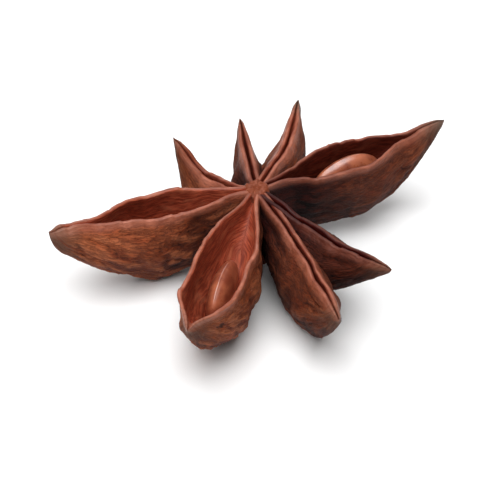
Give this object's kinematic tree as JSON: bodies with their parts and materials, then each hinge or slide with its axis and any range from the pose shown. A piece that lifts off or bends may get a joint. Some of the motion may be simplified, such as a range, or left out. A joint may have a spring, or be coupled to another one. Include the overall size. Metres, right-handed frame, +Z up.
{
  "type": "star anise pod",
  "caption": "Dried star-shaped spice pod: woody, boat-shaped carpels round a short column, lying split edges up, some open on glossy seeds.",
  "frame": {"origin": "middle of the flat stalk scar under the column, on the surface the pod lies on", "axes": "+Z up, out of the split edges; +X to the right of the star, along its longest extent; +Y towards the small back carpels"},
  "size_m": [0.0357, 0.032, 0.009],
  "materials": {
    "pod": "dry, wrinkled red-brown bark with paler tan split edges and a smooth, faintly glossy lining",
    "seed": "smooth and glossy chestnut brown"
  },
  "bodies": {
    "root": {"pod": "pod", "seed_right": "seed", "seed_front_left": "seed"}
  },
  "joints": []
}
